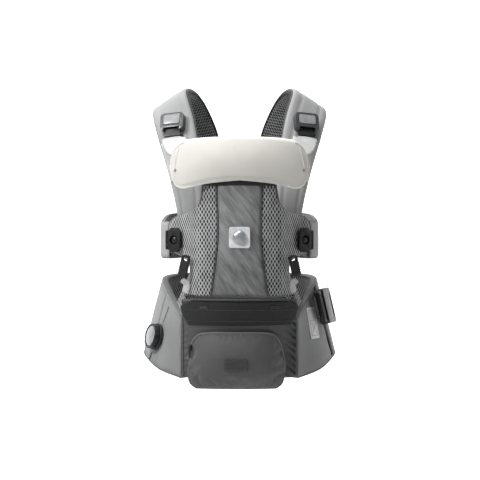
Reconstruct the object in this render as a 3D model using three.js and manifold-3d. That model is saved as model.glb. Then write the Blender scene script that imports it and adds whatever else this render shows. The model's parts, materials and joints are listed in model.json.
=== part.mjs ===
// A soft baby carrier with a hip seat, in the pose it takes when it is worn.
// Millimetres. +Z is up, -Y is the front (away from the wearer), +X is the viewer's right.
// The origin is on the mid plane, level with the pocket's lowest edge and just in front of the wearer.
import * as THREE from "three";
import { mergeVertices } from "three/addons/utils/BufferGeometryUtils.js";
import Module from "manifold-3d";

const wasm = await Module();
wasm.setup();

// ---------- driving dimensions ----------
const GAP = 0.4; // clearance between touching pieces
const SHELL = 5; // outer fabric with its share of the foam
const LINING = 8; // spacer mesh lining with its share of the foam

const PANEL = { bottom: 195, top: 496, front: -160, wrap: 0.003, thick: 4, pad: 8 };
const WING = { reach: 147, startsAt: 72, flatFrom: 128, sweep: 55 };
const SEAT = { top: 190, bottom: 22, halfWidth: 115 };
const FLAP = { drop: 51, thick: 4, topHalf: 97, wideHalf: 119, bottomHalf: 106 };
const POCKET = { centre: -7, top: 119, halfWidth: 100, bulge: 36, cornerHalf: 82 };
const BIB = { axisY: -152, axisZ: 510, halfWidth: 140, drop: 84, roll: 9, thick: 5, sweepBack: 30 };
const STRAP = { shoulderWidth: 88, chestWidth: 73, backWidth: 52 };
const BAND = { frontHeight: 74, backHeight: 98, thick: 13 };
const DIAL = { radius: 27, base: 29, height: 16 };
const WAIST_BUCKLE = { height: 76, depth: 19, length: 62 };
const WING_CLIP = { width: 29, height: 50, thick: 9 };
const STRAP_BUCKLE = { width: 52, height: 40, thick: 15 };
const LEG_CLIP = { width: 17, length: 44, thick: 9 };
const BADGE = { side: 42, thick: 4, dome: 14.5 };
const PATCH = { width: 46, height: 25, thick: 2.4 };

// ---------- colours ----------
const finish = (color, roughness, metalness = 0) => ({ color, roughness, metalness });
const LOOK = {
  fabric: finish(0xa9aaab, 0.75),
  darkFabric: finish(0x4a4b4d, 0.7),
  mesh: finish(0xb4b5b6, 0.9),
  darkMesh: finish(0x4c4d4f, 0.9),
  jacquard: finish(0x858788, 0.6),
  cream: finish(0xece8df, 0.7),
  white: finish(0xf2f2f2, 0.8),
  webbing: finish(0xd9dadb, 0.8),
  black: finish(0x1c1c1e, 0.35),
  greyPlastic: finish(0x77797b, 0.35),
  silver: finish(0xc9ccd0, 0.25, 0.9),
  rubber: finish(0x3b3c3e, 0.6),
  foam: finish(0xdadada, 0.95),
};

const root = new THREE.Group();
const vec = (x, y, z) => new THREE.Vector3(x, y, z);
const mix = THREE.MathUtils.lerp;
const smooth = THREE.MathUtils.smoothstep;

function add(name, geometry, look, parent = root) {
  const mesh = new THREE.Mesh(geometry, new THREE.MeshStandardMaterial(look));
  mesh.name = name;
  parent.add(mesh);
  return mesh;
}

// ---------- soft layers: closed solids between two offsets of a surface ----------
function normalOf(surface, u, v) {
  const h = 1e-3;
  const [u0, u1] = [Math.max(0, u - h), Math.min(1, u + h)];
  const [v0, v1] = [Math.max(0, v - h), Math.min(1, v + h)];
  const du = surface(u1, v).sub(surface(u0, v));
  const dv = surface(u, v1).sub(surface(u, v0));
  return du.cross(dv).normalize();
}

// surface(u, v) gives a point, from and to are offsets along its normal (numbers or functions of u, v)
function layer(surface, from, to, nu, nv) {
  const offset = (d, u, v) => (typeof d === "function" ? d(u, v) : d);
  const points = [];
  for (const d of [from, to])
    for (let i = 0; i <= nu; i++)
      for (let j = 0; j <= nv; j++) {
        const [u, v] = [i / nu, j / nv];
        const p = surface(u, v).addScaledVector(normalOf(surface, u, v), offset(d, u, v));
        points.push(p.x, p.y, p.z);
      }
  return closeGrid(points, nu, nv);
}

// Two grids of points, one behind the other, as one closed solid
function closeGrid(points, nu, nv) {
  const row = nv + 1;
  const face = (nu + 1) * row;
  const at = (side, i, j) => side * face + i * row + j;
  const index = [];
  const quad = (a, b, c, d) => index.push(a, b, c, a, c, d);
  for (let i = 0; i < nu; i++)
    for (let j = 0; j < nv; j++) {
      quad(at(1, i, j), at(1, i + 1, j), at(1, i + 1, j + 1), at(1, i, j + 1));
      quad(at(0, i, j), at(0, i, j + 1), at(0, i + 1, j + 1), at(0, i + 1, j));
    }
  for (let i = 0; i < nu; i++) {
    quad(at(0, i, 0), at(0, i + 1, 0), at(1, i + 1, 0), at(1, i, 0));
    quad(at(0, i + 1, nv), at(0, i, nv), at(1, i, nv), at(1, i + 1, nv));
  }
  for (let j = 0; j < nv; j++) {
    quad(at(0, 0, j + 1), at(0, 0, j), at(1, 0, j), at(1, 0, j + 1));
    quad(at(0, nu, j), at(0, nu, j + 1), at(1, nu, j + 1), at(1, nu, j));
  }
  return facingOut(points, index);
}

// A closed solid between two surfaces that both run over (u, v)
function between(front, back, nu, nv) {
  const direction = (u, v) => back(u, v).sub(front(u, v));
  const points = [];
  for (const share of [0, 1])
    for (let i = 0; i <= nu; i++)
      for (let j = 0; j <= nv; j++) {
        const p = front(i / nu, j / nv).addScaledVector(direction(i / nu, j / nv), share);
        points.push(p.x, p.y, p.z);
      }
  return closeGrid(points, nu, nv);
}

function facingOut(points, index) {
  let volume = 0;
  for (let k = 0; k < index.length; k += 3) {
    const [a, b, c] = [0, 1, 2].map((n) => vec(...points.slice(3 * index[k + n], 3 * index[k + n] + 3)));
    volume += a.dot(b.cross(c));
  }
  if (volume < 0) index.reverse();
  return new THREE.BufferGeometry()
    .setAttribute("position", new THREE.Float32BufferAttribute(points, 3))
    .setIndex(index);
}

// A smooth value through a few [position, value] pairs
function through(pairs) {
  const curve = new THREE.SplineCurve(pairs.map(([at, value]) => new THREE.Vector2(at, value)));
  const samples = curve.getPoints(pairs.length * 12);
  return (at) => {
    const k = samples.findIndex((s) => s.x >= at);
    if (k < 0) return samples[samples.length - 1].y;
    if (k === 0) return samples[0].y;
    const [a, b] = [samples[k - 1], samples[k]];
    return mix(a.y, b.y, (at - a.x) / Math.max(b.x - a.x, 1e-9));
  };
}

// ---------- booleans ----------
function toSolid(geometry) {
  const bare = geometry.index ? geometry.toNonIndexed() : geometry.clone();
  bare.deleteAttribute("normal");
  bare.deleteAttribute("uv");
  const merged = mergeVertices(bare, 1e-3);
  return new wasm.Manifold(
    new wasm.Mesh({
      numProp: 3,
      vertProperties: new Float32Array(merged.attributes.position.array),
      triVerts: new Uint32Array(merged.index.array),
    }),
  );
}

function toGeometry(solid) {
  const { vertProperties, triVerts } = solid.getMesh();
  return new THREE.BufferGeometry()
    .setAttribute("position", new THREE.BufferAttribute(vertProperties, 3))
    .setIndex(new THREE.BufferAttribute(triVerts, 1));
}

const cut = (body, ...tools) =>
  toGeometry(tools.reduce((left, tool) => left.subtract(toSolid(tool)), toSolid(body)));
const join = (first, ...rest) =>
  toGeometry(rest.reduce((sum, piece) => sum.add(toSolid(piece)), toSolid(first)));

// ---------- hard pieces, drawn in a local frame: x right, y up, z outwards ----------
function roundedRect(width, height, radius) {
  const [w, h, r] = [width / 2, height / 2, radius];
  const shape = new THREE.Shape();
  shape.moveTo(-w + r, -h);
  shape.lineTo(w - r, -h).absarc(w - r, -h + r, r, -Math.PI / 2, 0);
  shape.lineTo(w, h - r).absarc(w - r, h - r, r, 0, Math.PI / 2);
  shape.lineTo(-w + r, h).absarc(-w + r, h - r, r, Math.PI / 2, Math.PI);
  shape.lineTo(-w, -h + r).absarc(-w + r, -h + r, r, Math.PI, 1.5 * Math.PI);
  return shape;
}

function polygon(points) {
  return new THREE.Shape(points.map(([x, y]) => new THREE.Vector2(x, y)));
}

// A shape extruded from z = low to z = high
function plate(shape, low, high, curveSegments = 3) {
  const options = { depth: high - low, bevelEnabled: false, curveSegments };
  return new THREE.ExtrudeGeometry(shape, options).translate(0, 0, low);
}

function disc(radius, low, high, sides = 24) {
  return new THREE.CylinderGeometry(radius, radius, high - low, sides)
    .rotateX(Math.PI / 2)
    .translate(0, 0, (low + high) / 2);
}

function dome(radius, height, low, sides = 20) {
  const profile = [new THREE.Vector2(0, 0), new THREE.Vector2(radius, 0)];
  for (const share of [0.25, 0.5, 0.75]) {
    const angle = (share * Math.PI) / 2;
    profile.push(new THREE.Vector2(radius * Math.cos(angle), height * Math.sin(angle)));
  }
  profile.push(new THREE.Vector2(0, height));
  return new THREE.LatheGeometry(profile, sides).rotateX(Math.PI / 2).translate(0, 0, low);
}

function tube(points, radius, steps, sides = 8) {
  const section = new THREE.Shape().absarc(0, 0, radius, 0, 2 * Math.PI);
  const extrudePath = new THREE.CatmullRomCurve3(points);
  const options = { extrudePath, steps, curveSegments: sides / 2, bevelEnabled: false };
  return new THREE.ExtrudeGeometry(section, options);
}

// A group at a point, whose z axis is outward and whose y axis is as near to up as it can be
function frameAt(point, outward, up = vec(0, 0, 1)) {
  const z = outward.clone().normalize();
  const x = up.clone().cross(z).normalize();
  const group = new THREE.Group();
  group.matrix.makeBasis(x, z.clone().cross(x), z).setPosition(point);
  group.matrix.decompose(group.position, group.quaternion, group.scale);
  root.add(group);
  return group;
}

// ---------- the front panel ----------
const panelMiddle = through([
  [SEAT.top, PANEL.front],
  [310, PANEL.front - 6],
  [420, -155],
  [PANEL.top, -140],
]);
const stripHalf = through([[SEAT.top, 57], [307, 42.5], [412, 45], [PANEL.top, 46]]);

function panelY(x, z) {
  const wing = smooth(Math.abs(x), WING.startsAt, WING.flatFrom);
  return panelMiddle(z) + PANEL.wrap * x * x + WING.sweep * wing;
}

function panelNormal(x, z) {
  const h = 0.5;
  const slope = (panelY(x + h, z) - panelY(x - h, z)) / (2 * h);
  return vec(slope, -1, (panelY(x, z + h) - panelY(x, z - h)) / (2 * h)).normalize();
}

// Half width of the whole panel: seat corners, waist, the wing, and the neck under the bib
const PANEL_EDGE = [
  [195, 105], [225, 99], [256, 99], [268, 108], [279, 134], [300, WING.reach], [335, WING.reach],
  [350, 138], [357, 110], [368, 82], [385, 72], [420, 70.5], [PANEL.top, 73],
];

const panelPoint = (x, z) => vec(x, panelY(x, z), z);

function panelEdge(v) {
  const at = v * (PANEL_EDGE.length - 1);
  const k = Math.min(Math.floor(at), PANEL_EDGE.length - 2);
  const [a, b] = [PANEL_EDGE[k], PANEL_EDGE[k + 1]];
  return { z: mix(a[0], b[0], at - k), x: mix(a[1], b[1], at - k) };
}

function panel() {
  const strip = (u, v) => {
    const z = mix(PANEL.bottom, PANEL.top, v);
    return panelPoint((2 * u - 1) * stripHalf(z), z);
  };
  add("panel_centre_strip", layer(strip, 0, PANEL.thick, 8, 12), LOOK.jacquard);
  for (const [side, name] of [[-1, "left"], [1, "right"]]) {
    const mesh = (u, v) => {
      const { x, z } = panelEdge(v);
      const inner = stripHalf(z) + 2 * GAP;
      return panelPoint(side * mix(inner, x, side < 0 ? 1 - u : u), z);
    };
    add(`panel_mesh_${name}`, layer(mesh, 0, PANEL.thick, 6, PANEL_EDGE.length - 1), LOOK.mesh);
  }
  const lining = (u, v) => {
    const { x, z } = panelEdge(v);
    return panelPoint((2 * u - 1) * x, z);
  };
  const lined = layer(lining, -PANEL.pad, -4 * GAP, 20, PANEL_EDGE.length - 1);
  add("panel_lining", lined, LOOK.darkMesh);

  const badge = frameAt(vec(0, panelMiddle(312) - PANEL.thick - 2 * GAP, 312), vec(0, -1, 0));
  add("badge_plate", plate(roundedRect(BADGE.side, BADGE.side, 4), 0, BADGE.thick), LOOK.silver, badge);
  add("badge_dome", dome(BADGE.dome, 8, BADGE.thick + GAP), LOOK.silver, badge);
}

// ---------- the hip seat ----------
const seatFront = through([
  [0, -86],
  [SEAT.bottom, -92],
  [70, -108],
  [120, -128],
  [160, -146],
  [SEAT.top, -160],
]);
const seatWrap = (z) => mix(0.0012, PANEL.wrap, smooth(z, SEAT.bottom, 150));
const seatPoint = (x, z) => vec(x, seatFront(z) + seatWrap(z) * x * x, z);

function seat() {
  const halfAt = (z) => mix(SEAT.halfWidth - 16, SEAT.halfWidth - 18, z / SEAT.top);
  const core = (back) => (u, v) => {
    const z = mix(SEAT.bottom + 8, SEAT.top - 14, v);
    const p = seatPoint((2 * u - 1) * halfAt(z), z);
    return back ? vec(p.x, 6, z) : vec(p.x, p.y + 12, z);
  };
  add("seat_core", between(core(false), core(true), 8, 6), LOOK.foam);
  const cover = (u, v) => {
    const z = mix(SEAT.bottom, SEAT.top - 4, v);
    return seatPoint((2 * u - 1) * SEAT.halfWidth, z);
  };
  add("seat_front_cover", layer(cover, -5, 0, 10, 8), LOOK.fabric);
  const top = (z) => (u, v) => {
    const x = (2 * u - 1) * halfAt(SEAT.top);
    const front = seatPoint(x, SEAT.top).y + 14;
    return vec(x, mix(front, 6, v), z);
  };
  add("seat_top_pad", between(top(SEAT.top - 13), top(SEAT.top), 8, 4), LOOK.darkMesh);

  const flapHalf = through([
    [-FLAP.drop, FLAP.bottomHalf],
    [-40, 109],
    [-14, FLAP.wideHalf],
    [0, FLAP.topHalf],
  ]);
  const flap = (u, v) => {
    const drop = -FLAP.drop * (1 - v);
    const x = (2 * u - 1) * flapHalf(drop);
    return seatPoint(x, SEAT.top - 4 + drop);
  };
  add("seat_flap", layer(flap, 1, 1 + FLAP.thick, 10, 6), LOOK.darkFabric);
}

// ---------- the pocket on the hip seat ----------
const pocketHalf = through([
  [0, POCKET.cornerHalf],
  [12, 96],
  [34, POCKET.halfWidth],
  [66, 96],
  [94, 90],
  [111, 81],
  [POCKET.top, 68],
]);

function pocketFront(x, z) {
  const across = 1 - Math.pow(Math.min(1, Math.abs(x) / (pocketHalf(z) + 2)), 3);
  const up = Math.sin(Math.PI * Math.pow(z / (POCKET.top + 2), 0.75));
  return POCKET.bulge * Math.pow(Math.max(0, across * up), 0.55);
}

function pocket() {
  const back = (u, v) => {
    const z = mix(0, POCKET.top, v);
    const x = POCKET.centre + (2 * u - 1) * pocketHalf(z);
    return vec(x, seatPoint(x, z).y - 1.5, z);
  };
  const front = (u, v) => {
    const p = back(u, v);
    return vec(p.x, p.y - 6 - pocketFront(p.x - POCKET.centre, p.z), p.z);
  };
  add("pocket_bag", between(front, back, 14, 10), LOOK.fabric);

  const face = (z) => seatPoint(0, z).y - 7.5 - pocketFront(0, z);
  const tilt = face(64) - face(46);
  const patch = frameAt(vec(POCKET.centre, face(55) - 3.2, 55), vec(0, -1, tilt / 18));
  add("pocket_patch", plate(roundedRect(PATCH.width, PATCH.height, 2), 0, PATCH.thick), LOOK.rubber, patch);

  // The zip runs round the pocket's top edge; its slider stands at the left end of the run
  const at = vec(-99, seatPoint(-99, 88).y - 20, 88);
  const zip = frameAt(at, vec(-0.55, -0.83, 0));
  const body = plate(polygon([[-4, -6], [4, -6], [3, 6], [-3, 6]]), 0, 3);
  add("pocket_zip_slider", join(body, disc(1.4, 2.6, 5.4, 10)), LOOK.black, zip);
  const puller = cut(plate(roundedRect(6, 24, 2.5), 0, 1.6), disc(1.9, -1, 3, 12).translate(0, 9, 0));
  add("pocket_zip_puller", puller.translate(0, -9, 3.4), LOOK.black, zip);
}

// ---------- the waist belt ----------
// Plan points of its lower and upper edges, from the hip seat's seam round to the back
const BELT_LOW = [
  [-121, -77, 22],
  [-167, -42, 36],
  [-199, 24, 54],
  [-209, 98, 64],
  [-184, 170, 70],
  [-108, 214, 72],
  [0, 228, 72],
];
const BELT_HIGH = [
  [-121, -98, 150],
  [-140, -42, 178],
  [-158, 14, 205],
  [-168, 84, 224],
  [-148, 148, 230],
  [-88, 188, 232],
  [0, 200, 232],
];
const DIAL_AT = 0.124;
const LACE_AT = 0.145; // shares of the way round, from the left seam by the back to the right seam
const BUCKLE_AT = 0.822;
const LABEL_AT = 0.907;

function beltCurve(points) {
  const left = points.map(([x, y, z]) => vec(x, y, z));
  const right = points.slice(0, -1).map(([x, y, z]) => vec(-x, y, z));
  return new THREE.CatmullRomCurve3([...left, ...right.reverse()]);
}

const [beltLow, beltHigh] = [beltCurve(BELT_LOW), beltCurve(BELT_HIGH)];
const beltSurface = (share, height) => beltLow.getPoint(share).lerp(beltHigh.getPoint(share), height);

// The belt's surface normal points inwards, so depths count from its outer face
function beltLayer(from, to, outer, inner, steps) {
  return layer((u, v) => beltSurface(mix(from, to, u), v), outer, inner, steps, 4);
}

function belt() {
  const split = 0.004;
  const buckleEnd = BUCKLE_AT + 0.02;
  add("belt_wing_left", beltLayer(0, LACE_AT - split, 0, SHELL, 8), LOOK.fabric);
  add("belt_back", beltLayer(LACE_AT + split, BUCKLE_AT - 0.02, 0, SHELL, 26), LOOK.fabric);
  add("belt_wing_right", beltLayer(buckleEnd, 1, 0, SHELL, 8), LOOK.fabric);
  add("belt_lining", beltLayer(0.01, 0.99, SHELL + 4 * GAP, SHELL + LINING, 40), LOOK.darkMesh);
}

function beltFrame(share, height, stand) {
  const outward = normalOf(beltSurface, share, height).negate();
  const point = beltSurface(share, height).addScaledVector(outward, stand);
  return { point, outward, group: frameAt(point, outward) };
}

// ---------- the rotary tension dial and its lace ----------
function dial() {
  const { group } = beltFrame(DIAL_AT, 0.38, 5);
  const seatRing = cut(disc(DIAL.base, -2, 4, 28), disc(7, 1, 5, 20));
  add("dial_base", seatRing, LOOK.black, group);
  add("dial_spindle", disc(6.6, 1.6, 11, 16), LOOK.black, group);
  const grip = new THREE.Shape();
  const ribs = 16;
  for (let i = 0; i < 2 * ribs; i++) {
    const r = i % 2 ? DIAL.radius : DIAL.radius - 1.3;
    const a = (i * Math.PI) / ribs;
    grip[i ? "lineTo" : "moveTo"](r * Math.cos(a), r * Math.sin(a));
  }
  const bore = disc(7, 4, 11.6, 20);
  const recess = disc(DIAL.radius - 5, DIAL.height - 2, DIAL.height + 1);
  const knob = cut(plate(grip, 4.6, DIAL.height), bore, recess);
  add("dial_knob", knob, LOOK.black, group);
  add("dial_cap", dome(DIAL.radius - 5.4, 3.2, DIAL.height - 1.6, 24), LOOK.silver, group);
  const lace = (name, heights) => {
    const points = heights.map((h) => {
      const share = DIAL_AT - 0.05 * (h - 0.38);
      return beltSurface(share, h).addScaledVector(normalOf(beltSurface, share, h), -1.7);
    });
    add(name, tube(points, 1.2, 8, 6), LOOK.black);
  };
  lace("dial_lace_upper", [0.6, 0.7, 0.8, 0.88]);
  lace("dial_lace_lower", [0.13, 0.09, 0.05, 0.02]);
}

// ---------- the waist buckle on the right hip ----------
function waistBuckle() {
  const { group } = beltFrame(BUCKLE_AT, 0.7, 13);
  const { height: h, depth: d, length: l } = WAIST_BUCKLE;
  // local x runs backwards round the waist, local y up, local z outwards
  const shell = plate(roundedRect(l, h, 9), -d / 2, d / 2);
  const throat = plate(roundedRect(l, h - 14, 3), -4, 4).translate(-9, 0, 0);
  const sideSlot = (y) => plate(roundedRect(30, 16, 3), -4.5, 4.5).translate(-8, y, 0);
  const barSlot = plate(roundedRect(9, h - 24, 2), -d, d).translate(l / 2 - 11, 0, 0);
  const body = cut(shell, throat, sideSlot(h / 2 - 6), sideSlot(6 - h / 2), barSlot);
  add("waist_buckle_housing", body, LOOK.black, group);

  const tongue = plate(roundedRect(34, h - 46, 3), -3.2, 3.2).translate(-7, 0, 0);
  const head = plate(roundedRect(16, h - 10, 4), -6, 6).translate(-l / 2 - 11, 0, 0);
  const stem = plate(roundedRect(30, h - 46, 2), -3.2, 3.2).translate(-l / 2 + 3, 0, 0);
  const headSlot = plate(roundedRect(5, h - 24, 2), -9, 9).translate(-l / 2 - 13, 0, 0);
  add("waist_buckle_tongue", cut(join(tongue, stem, head), headSlot), LOOK.black, group);
  for (const [s, name] of [[1, "upper"], [-1, "lower"]]) {
    const outline = [[-33, 17], [-33, 22], [-14, 25], [-4, 30], [4, 26], [6, 20], [0, 17.5]];
    const prong = polygon(outline.map(([x, y]) => [x, s * y]));
    add(`waist_buckle_prong_${name}`, plate(prong, -3, 3), LOOK.black, group);
  }
  const web = (name, x0, x1, z) => {
    const strap = plate(roundedRect(x1 - x0, h - 28, 1), z, z + 2.4).translate((x0 + x1) / 2, 0, 0);
    add(name, strap, LOOK.webbing, group);
  };
  web("waist_webbing_front", -66, -l / 2 - 19.8, -6.6);
  web("waist_webbing_back", l / 2 + 0.6, l / 2 + 24, -6.6);
  const label = frameAt(...labelPlace());
  add("care_label", plate(roundedRect(38, 66, 2), 0, 1.4), LOOK.white, label);
}

function labelPlace() {
  const { point, outward } = beltFrame(LABEL_AT, 0.66, 1.6);
  return [point, outward];
}

// ---------- the harness: shoulder straps, side bands and back yoke ----------
// Each station: centre point, outward normal and width. Drawn for the right side, mirrored for the left.
const STRAP_LINE = [
  [[101, -34, 338], [0.15, -1, 0.05], 52],
  [[105, -26, 385], [0.2, -1, 0.1], 58],
  [[116, -6, 462], [0.25, -1, 0.25], STRAP.chestWidth],
  [[136, 24, 546], [0.33, -0.95, 0.45], 84],
  [[150, 64, 606], [0.57, -0.25, 0.82], STRAP.shoulderWidth],
  [[129, 114, 605], [0.5, 0.35, 0.8], STRAP.shoulderWidth],
  [[92, 158, 547], [0.25, 1, 0.35], 78],
  [[68, 184, 480], [0.1, 1, 0.1], 62],
  [[50, 196, 425], [0, 1, 0], STRAP.backWidth],
];
const BAND_LINE = [
  [[146, -16, 308], [0.75, -0.65, 0], BAND.frontHeight],
  [[161, 14, 308], [0.95, -0.3, 0], 76],
  [[163, 70, 311], [1, 0.1, 0], 86],
  [[150, 136, 316], [0.75, 0.65, 0], BAND.backHeight],
  [[104, 184, 320], [0.3, 0.95, 0], BAND.backHeight],
  [[66, 197, 322], [0.1, 1, 0], BAND.backHeight],
];

// A strip that follows the stations, u along it and v across it
function ribbon(line, side) {
  const mirror = ([x, y, z]) => vec(side * x, y, z);
  const path = new THREE.CatmullRomCurve3(line.map(([at]) => mirror(at)));
  const out = new THREE.CatmullRomCurve3(line.map(([, normal]) => mirror(normal)));
  const width = new THREE.SplineCurve(line.map(([, , w], i) => new THREE.Vector2(i, w)));
  return (u, v) => {
    const across = out.getPoint(u).cross(path.getTangent(u)).normalize();
    return path.getPoint(u).addScaledVector(across, (v - 0.5) * width.getPoint(u).y);
  };
}

function harness() {
  for (const [side, name] of [[-1, "left"], [1, "right"]]) {
    const strap = ribbon(STRAP_LINE, side);
    add(`shoulder_strap_${name}`, layer(strap, GAP / 2, 9, 18, 4), LOOK.fabric);
    add(`shoulder_lining_${name}`, layer(strap, -9, -GAP / 2, 18, 4), LOOK.darkMesh);
    const band = ribbon(BAND_LINE, side);
    add(`side_band_${name}`, layer(band, -BAND.thick / 2, BAND.thick / 2, 10, 3), LOOK.fabric);
  }
  // The yoke's top edge follows the slanted ends of the two straps
  const half = through([[268, 61], [376, 62], [396, 69], [440, 72]]);
  const yoke = (u, v) => {
    const across = Math.abs(2 * u - 1);
    const top = 410 + 0.467 * (72 - Math.max(across * 72, 30));
    const z = mix(270, top, v);
    const x = (2 * u - 1) * half(z);
    return vec(x, 199 - 0.0008 * x * x, z);
  };
  add("back_yoke", layer(yoke, -8, 8, 10, 6), LOOK.fabric);
}

// ---------- head support, folded down over the top of the panel ----------
function headSupport() {
  const lowEdge = (x) => BIB.axisZ - BIB.drop - 12 * Math.pow(Math.abs(x) / BIB.halfWidth, 2);
  const shape = (u, v) => {
    const s = 2 * u - 1;
    const x = s * BIB.halfWidth;
    const end = Math.max(0, (Math.abs(s) - 0.8) / 0.2);
    const [top, low] = [BIB.axisZ - 26 * end * end, lowEdge(x) + 30 * Math.pow(end, 3)];
    const y = BIB.axisY - BIB.roll + BIB.sweepBack * s * s;
    return vec(x, y - 8 * Math.sin(Math.PI * v) * (1 - s * s), mix(low, top, v));
  };
  const front = layer(shape, 0, BIB.thick, 18, 6);
  const rollPath = [-1, -0.5, 0, 0.5, 1].map((s) =>
    vec(s * 112, BIB.axisY + BIB.sweepBack * s * s * 0.64, BIB.axisZ - 1));
  add("head_support", join(front, tube(rollPath, BIB.roll, 10, 12)), LOOK.cream);
  for (const [side, name] of [[-1, "left"], [1, "right"]]) {
    const at = shape(0.5 + side * 0.46, 0.32);
    const snap = frameAt(vec(at.x, at.y - BIB.thick - 1.2, at.z), vec(side * 0.4, -1, 0));
    add(`head_support_snap_${name}`, dome(5, 2.4, 0, 16), LOOK.greyPlastic, snap);
  }
}

// ---------- the grey buckles on the shoulder straps, with their white tabs ----------
function strapBuckles() {
  for (const [side, name] of [[-1, "left"], [1, "right"]]) {
    const strap = ribbon(STRAP_LINE, side);
    const share = 0.385;
    const outward = normalOf(strap, share, 0.5);
    const group = frameAt(strap(share, 0.5).addScaledVector(outward, 11), outward, vec(side * 0.08, 0, 1));
    const { width: w, height: h, thick: t } = STRAP_BUCKLE;
    const slot = plate(roundedRect(w - 16, 30, 2), 3, t - 3.4).translate(0, -h / 2 + 8, 0);
    const window = plate(roundedRect(w - 14, 22, 5), 7, t + 3).translate(0, 4, 0);
    const notch = plate(roundedRect(w - 16, 12, 2), 3, t + 3).translate(0, -h / 2 + 1, 0);
    const frame = cut(plate(roundedRect(w, h, 8), 0, t), slot, window, notch);
    add(`strap_buckle_${name}`, frame, LOOK.greyPlastic, group);
    const button = plate(roundedRect(w - 15.4, 20.8, 4.5), t - 3, t + 1.4).translate(0, 4, 0);
    add(`strap_button_${name}`, button, LOOK.greyPlastic, group);
    const tongue = plate(roundedRect(w - 18, 24, 2), 4, 8).translate(0, -h / 2 + 6, 0);
    const bar = plate(roundedRect(w - 12, 7, 3), 3.6, 8.4).translate(0, -h / 2 - 8, 0);
    add(`strap_tongue_${name}`, join(tongue, bar), LOOK.black, group);
    const below = (drop, stand) => vec(0, -h / 2 - drop, stand).applyMatrix4(group.matrix).toArray();
    const tabLine = [
      [below(13, 5), outward.toArray(), 44],
      [below(25, 7), outward.toArray(), 48],
      [[side * 123, -37, 500], [side * 0.25, -0.8, 0.55], 52],
      [[side * 106, -72, 486], [side * 0.2, -0.5, 0.85], 46],
      [[side * 86, -108, 476], [side * 0.2, -0.8, 0.5], 38],
    ];
    const path = ribbon(tabLine, 1);
    add(`neck_tab_${name}`, layer(path, 0, 2.4, 6, 2), LOOK.white);
  }
}

// ---------- the round-button clips that join the panel's wings to the harness ----------
function wingClips() {
  for (const [side, name] of [[-1, "left"], [1, "right"]]) {
    const outward = vec(side * 0.5, -0.87, 0);
    const at = panelPoint(side * 120, 307).addScaledVector(panelNormal(side * 120, 307), PANEL.thick + 10);
    const group = frameAt(at, outward);
    const { width: w, height: h, thick: t } = WING_CLIP;
    const hexagon = (grow) => {
      const [a, b] = [w / 2 + grow, h / 2 + grow];
      const quarter = [[a * 0.5, -b], [a, -b * 0.62], [a, b * 0.62], [a * 0.5, b]];
      return polygon([...quarter, ...quarter.map(([x, y]) => [-x, -y])]);
    };
    add(`wing_clip_base_${name}`, join(plate(hexagon(-3), -3, 0), disc(8.4, -0.5, 3, 20)), LOOK.black, group);
    const frame = cut(plate(hexagon(0), GAP, t), disc(9.4, 0, t + 1, 24));
    const bar = plate(roundedRect(11, h * 0.8, 3), 2, 6.5).translate(side * (w / 2 + 1.5), 0, 0);
    const slot = plate(roundedRect(4, h * 0.66, 1.5), 0, t + 1).translate(side * (w / 2 + 2), 0, 0);
    add(`wing_clip_${name}`, cut(join(frame, bar), slot), LOOK.black, group);
    add(`wing_button_${name}`, dome(8, 4, 5.2, 20), LOOK.black, group);
  }
}

// ---------- leg-opening adjusters on the panel's lower edges ----------
function legAdjusters() {
  for (const [side, name] of [[-1, "left"], [1, "right"]]) {
    // The clip faces slightly down, so that its slide clears the wing above it
    const outward = vec(side * 0.35, -0.94, -0.15).normalize();
    const middle = panelPoint(side * 95, 256);
    const at = middle.addScaledVector(panelNormal(side * 95, 256), PANEL.thick + 13);
    const group = frameAt(at, outward, vec(side * -0.3, 0, 1));
    const { width: w, length: l, thick: t } = LEG_CLIP;
    const body = plate(roundedRect(w, l, 5), 0, t);
    const eye = plate(roundedRect(w - 7, 8, 2), -1, t + 1).translate(0, l / 2 - 8, 0);
    const rib = (y) => plate(roundedRect(w + 2, 2.2, 1), t - 3, t + 1).translate(0, y, 0);
    const grip = join(cut(body, eye), rib(-15), rib(-10), rib(-5), rib(0), rib(5));
    add(`leg_clip_${name}`, grip, LOOK.black, group);
    const start = vec(0, -l / 2 - 8, 2.5).applyMatrix4(group.matrix);
    const line = [
      [start.toArray(), outward.toArray(), 13],
      [[side * 107, -119, 218], [side * 0.5, -1, 0], 16],
      [[side * 111, -111, 200], [side * 0.6, -1, 0], 16],
    ];
    add(`leg_webbing_${name}`, layer(ribbon(line, 1), 0, 2, 5, 1), LOOK.webbing);
  }
}

panel();
seat();
pocket();
belt();
dial();
waistBuckle();
harness();
headSupport();
strapBuckles();
wingClips();
legAdjusters();

export default root;
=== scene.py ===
# A soft baby carrier with a hip seat, as it is worn: the looks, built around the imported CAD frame.
import json
import math

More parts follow.
